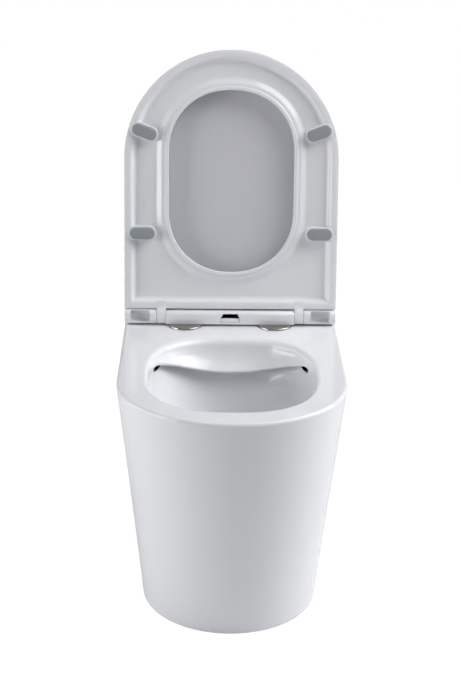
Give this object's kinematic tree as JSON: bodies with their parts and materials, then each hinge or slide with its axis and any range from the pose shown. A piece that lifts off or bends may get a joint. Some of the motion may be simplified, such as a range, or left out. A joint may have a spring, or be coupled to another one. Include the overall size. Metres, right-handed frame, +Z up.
{
  "type": "back to wall toilet",
  "caption": "Back to wall toilet: skirted white ceramic pan with a hooded open-rim bowl, and a soft-closing seat and cover, both raised, on a quick-release hinge bar.",
  "frame": {"origin": "on the floor, at the centre of the pan's footprint box", "axes": "+Z up, +Y towards the wall behind the pan, +X to the right of someone facing the pan"},
  "size_m": [0.366, 0.56, 0.8669],
  "materials": {
    "glaze": "glossy white glaze over vitreous china",
    "seat_plastic": "glossy white moulded plastic",
    "inner_plastic": "plain moulded plastic",
    "buffer_rubber": "soft satin grey rubber",
    "seal_rubber": "matt black rubber",
    "chrome": "polished chrome plate",
    "steel": "plain stainless steel"
  },
  "bodies": {
    "pan": {"pan": "glaze", "hinge_plate_left": "steel", "hinge_plate_right": "steel", "hinge_cap_left": "chrome", "hinge_cap_right": "chrome", "plate_gaskets": "seal_rubber", "fixing_bolts": "steel", "cone_washers": "seal_rubber", "hinge_bar": "seat_plastic", "hinge_bar_base": "inner_plastic", "base_screws": "steel", "damper_left": "inner_plastic", "damper_right": "inner_plastic", "release_spring": "steel", "floor_brackets": "inner_plastic", "side_screws": "steel", "side_nuts": "steel", "side_caps": "chrome"},
    "cover": {"cover": "seat_plastic", "cover_buffers": "buffer_rubber", "damper_shaft_right": "steel", "hinge_bush_left": "inner_plastic"},
    "seat": {"seat": "seat_plastic", "seat_buffers": "buffer_rubber", "damper_shaft_left": "steel", "hinge_bush_right": "inner_plastic"},
    "button": {"release_button": "seat_plastic"},
    "latch_left": {"latch_left": "steel"},
    "latch_right": {"latch_right": "steel"},
    "nut_left": {"wing_nut_left": "inner_plastic"},
    "nut_right": {"wing_nut_right": "inner_plastic"}
  },
  "joints": [
    {"name": "cover_hinge", "type": "hinge", "parent": "pan", "child": "cover", "pos_m": [0, 0.176, 0.414], "axis": [1, 0, 0], "range_deg": [0, 98]},
    {"name": "seat_hinge", "type": "hinge", "parent": "cover", "child": "seat", "pos_m": [0, 0.176, 0.414], "axis": [-1, 0, 0], "range_deg": [-98, 0]},
    {"name": "button_slide", "type": "slide", "parent": "pan", "child": "button", "axis": [0, 1, 0], "range_m": [0, 0.003], "stiffness_N_per_m": 800, "springref_m": -0.002, "deforming": ["release_spring"]},
    {"name": "latch_left_slide", "type": "slide", "parent": "pan", "child": "latch_left", "axis": [1, 0, 0], "range_m": [0, 0.003]},
    {"name": "latch_right_slide", "type": "slide", "parent": "pan", "child": "latch_right", "axis": [-1, 0, 0], "range_m": [0, 0.003]},
    {"name": "nut_left_turn", "type": "hinge", "parent": "pan", "child": "nut_left", "pos_m": [-0.0775, 0.1704, 0.37], "axis": [0, 0, 1], "continuous": true},
    {"name": "nut_right_turn", "type": "hinge", "parent": "pan", "child": "nut_right", "pos_m": [0.0775, 0.1704, 0.37], "axis": [0, 0, 1], "continuous": true}
  ],
  "couplings": [
    {"joint": "latch_left_slide", "follows": "button_slide", "ratio": 1},
    {"joint": "latch_right_slide", "follows": "button_slide", "ratio": 1}
  ]
}
